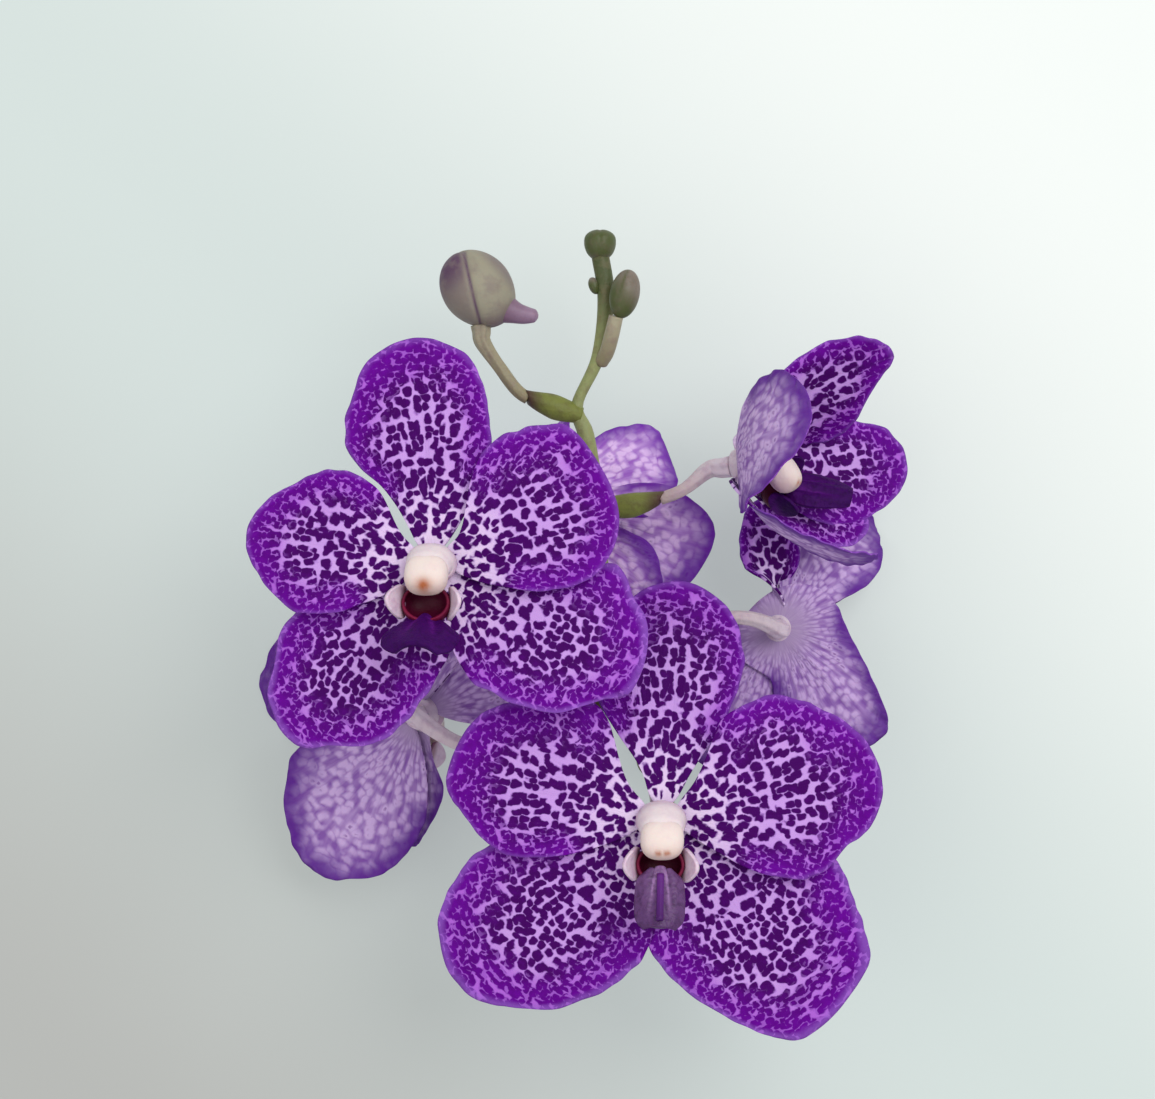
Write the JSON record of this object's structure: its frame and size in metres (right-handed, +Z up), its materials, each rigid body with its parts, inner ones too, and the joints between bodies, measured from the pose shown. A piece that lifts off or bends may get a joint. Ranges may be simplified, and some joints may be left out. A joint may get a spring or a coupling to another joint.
{
  "type": "cut vanda orchid spray",
  "caption": "Cut vanda orchid spray lying on a surface: spotted violet blooms and buds on a slim arching green stem.",
  "frame": {"origin": "middle of the bounding box's base, on the surface that the spray lies on", "axes": "+Z up from the surface, +Y towards the stem's tip, +X to the right as the picture shows the spray"},
  "size_m": [0.1596, 0.1887, 0.0935],
  "materials": {
    "tepals": "satin",
    "column": "satin",
    "lip": "satin",
    "stalk": "satin",
    "stem": "satin",
    "bud": "satin"
  },
  "bodies": {
    "root": {"bloom_a_tepals": "tepals", "bloom_a_column": "column", "bloom_a_lip": "lip", "bloom_a_stalk": "stalk", "bloom_b_tepals": "tepals", "bloom_b_column": "column", "bloom_b_lip": "lip", "bloom_b_stalk": "stalk", "bloom_c_tepals": "tepals", "bloom_c_column": "column", "bloom_c_lip": "lip", "bloom_c_stalk": "stalk", "bloom_d_tepals": "tepals", "bloom_d_column": "column", "bloom_d_lip": "lip", "bloom_d_stalk": "stalk", "bloom_e_tepals": "tepals", "bloom_e_column": "column", "bloom_e_lip": "lip", "bloom_e_stalk": "stalk", "bloom_f_tepals": "tepals", "bloom_f_column": "column", "bloom_f_lip": "lip", "bloom_f_stalk": "stalk", "flower_stem": "stem", "large_bud": "bud", "large_bud_stalk": "stalk", "small_bud": "bud"}
  },
  "joints": []
}
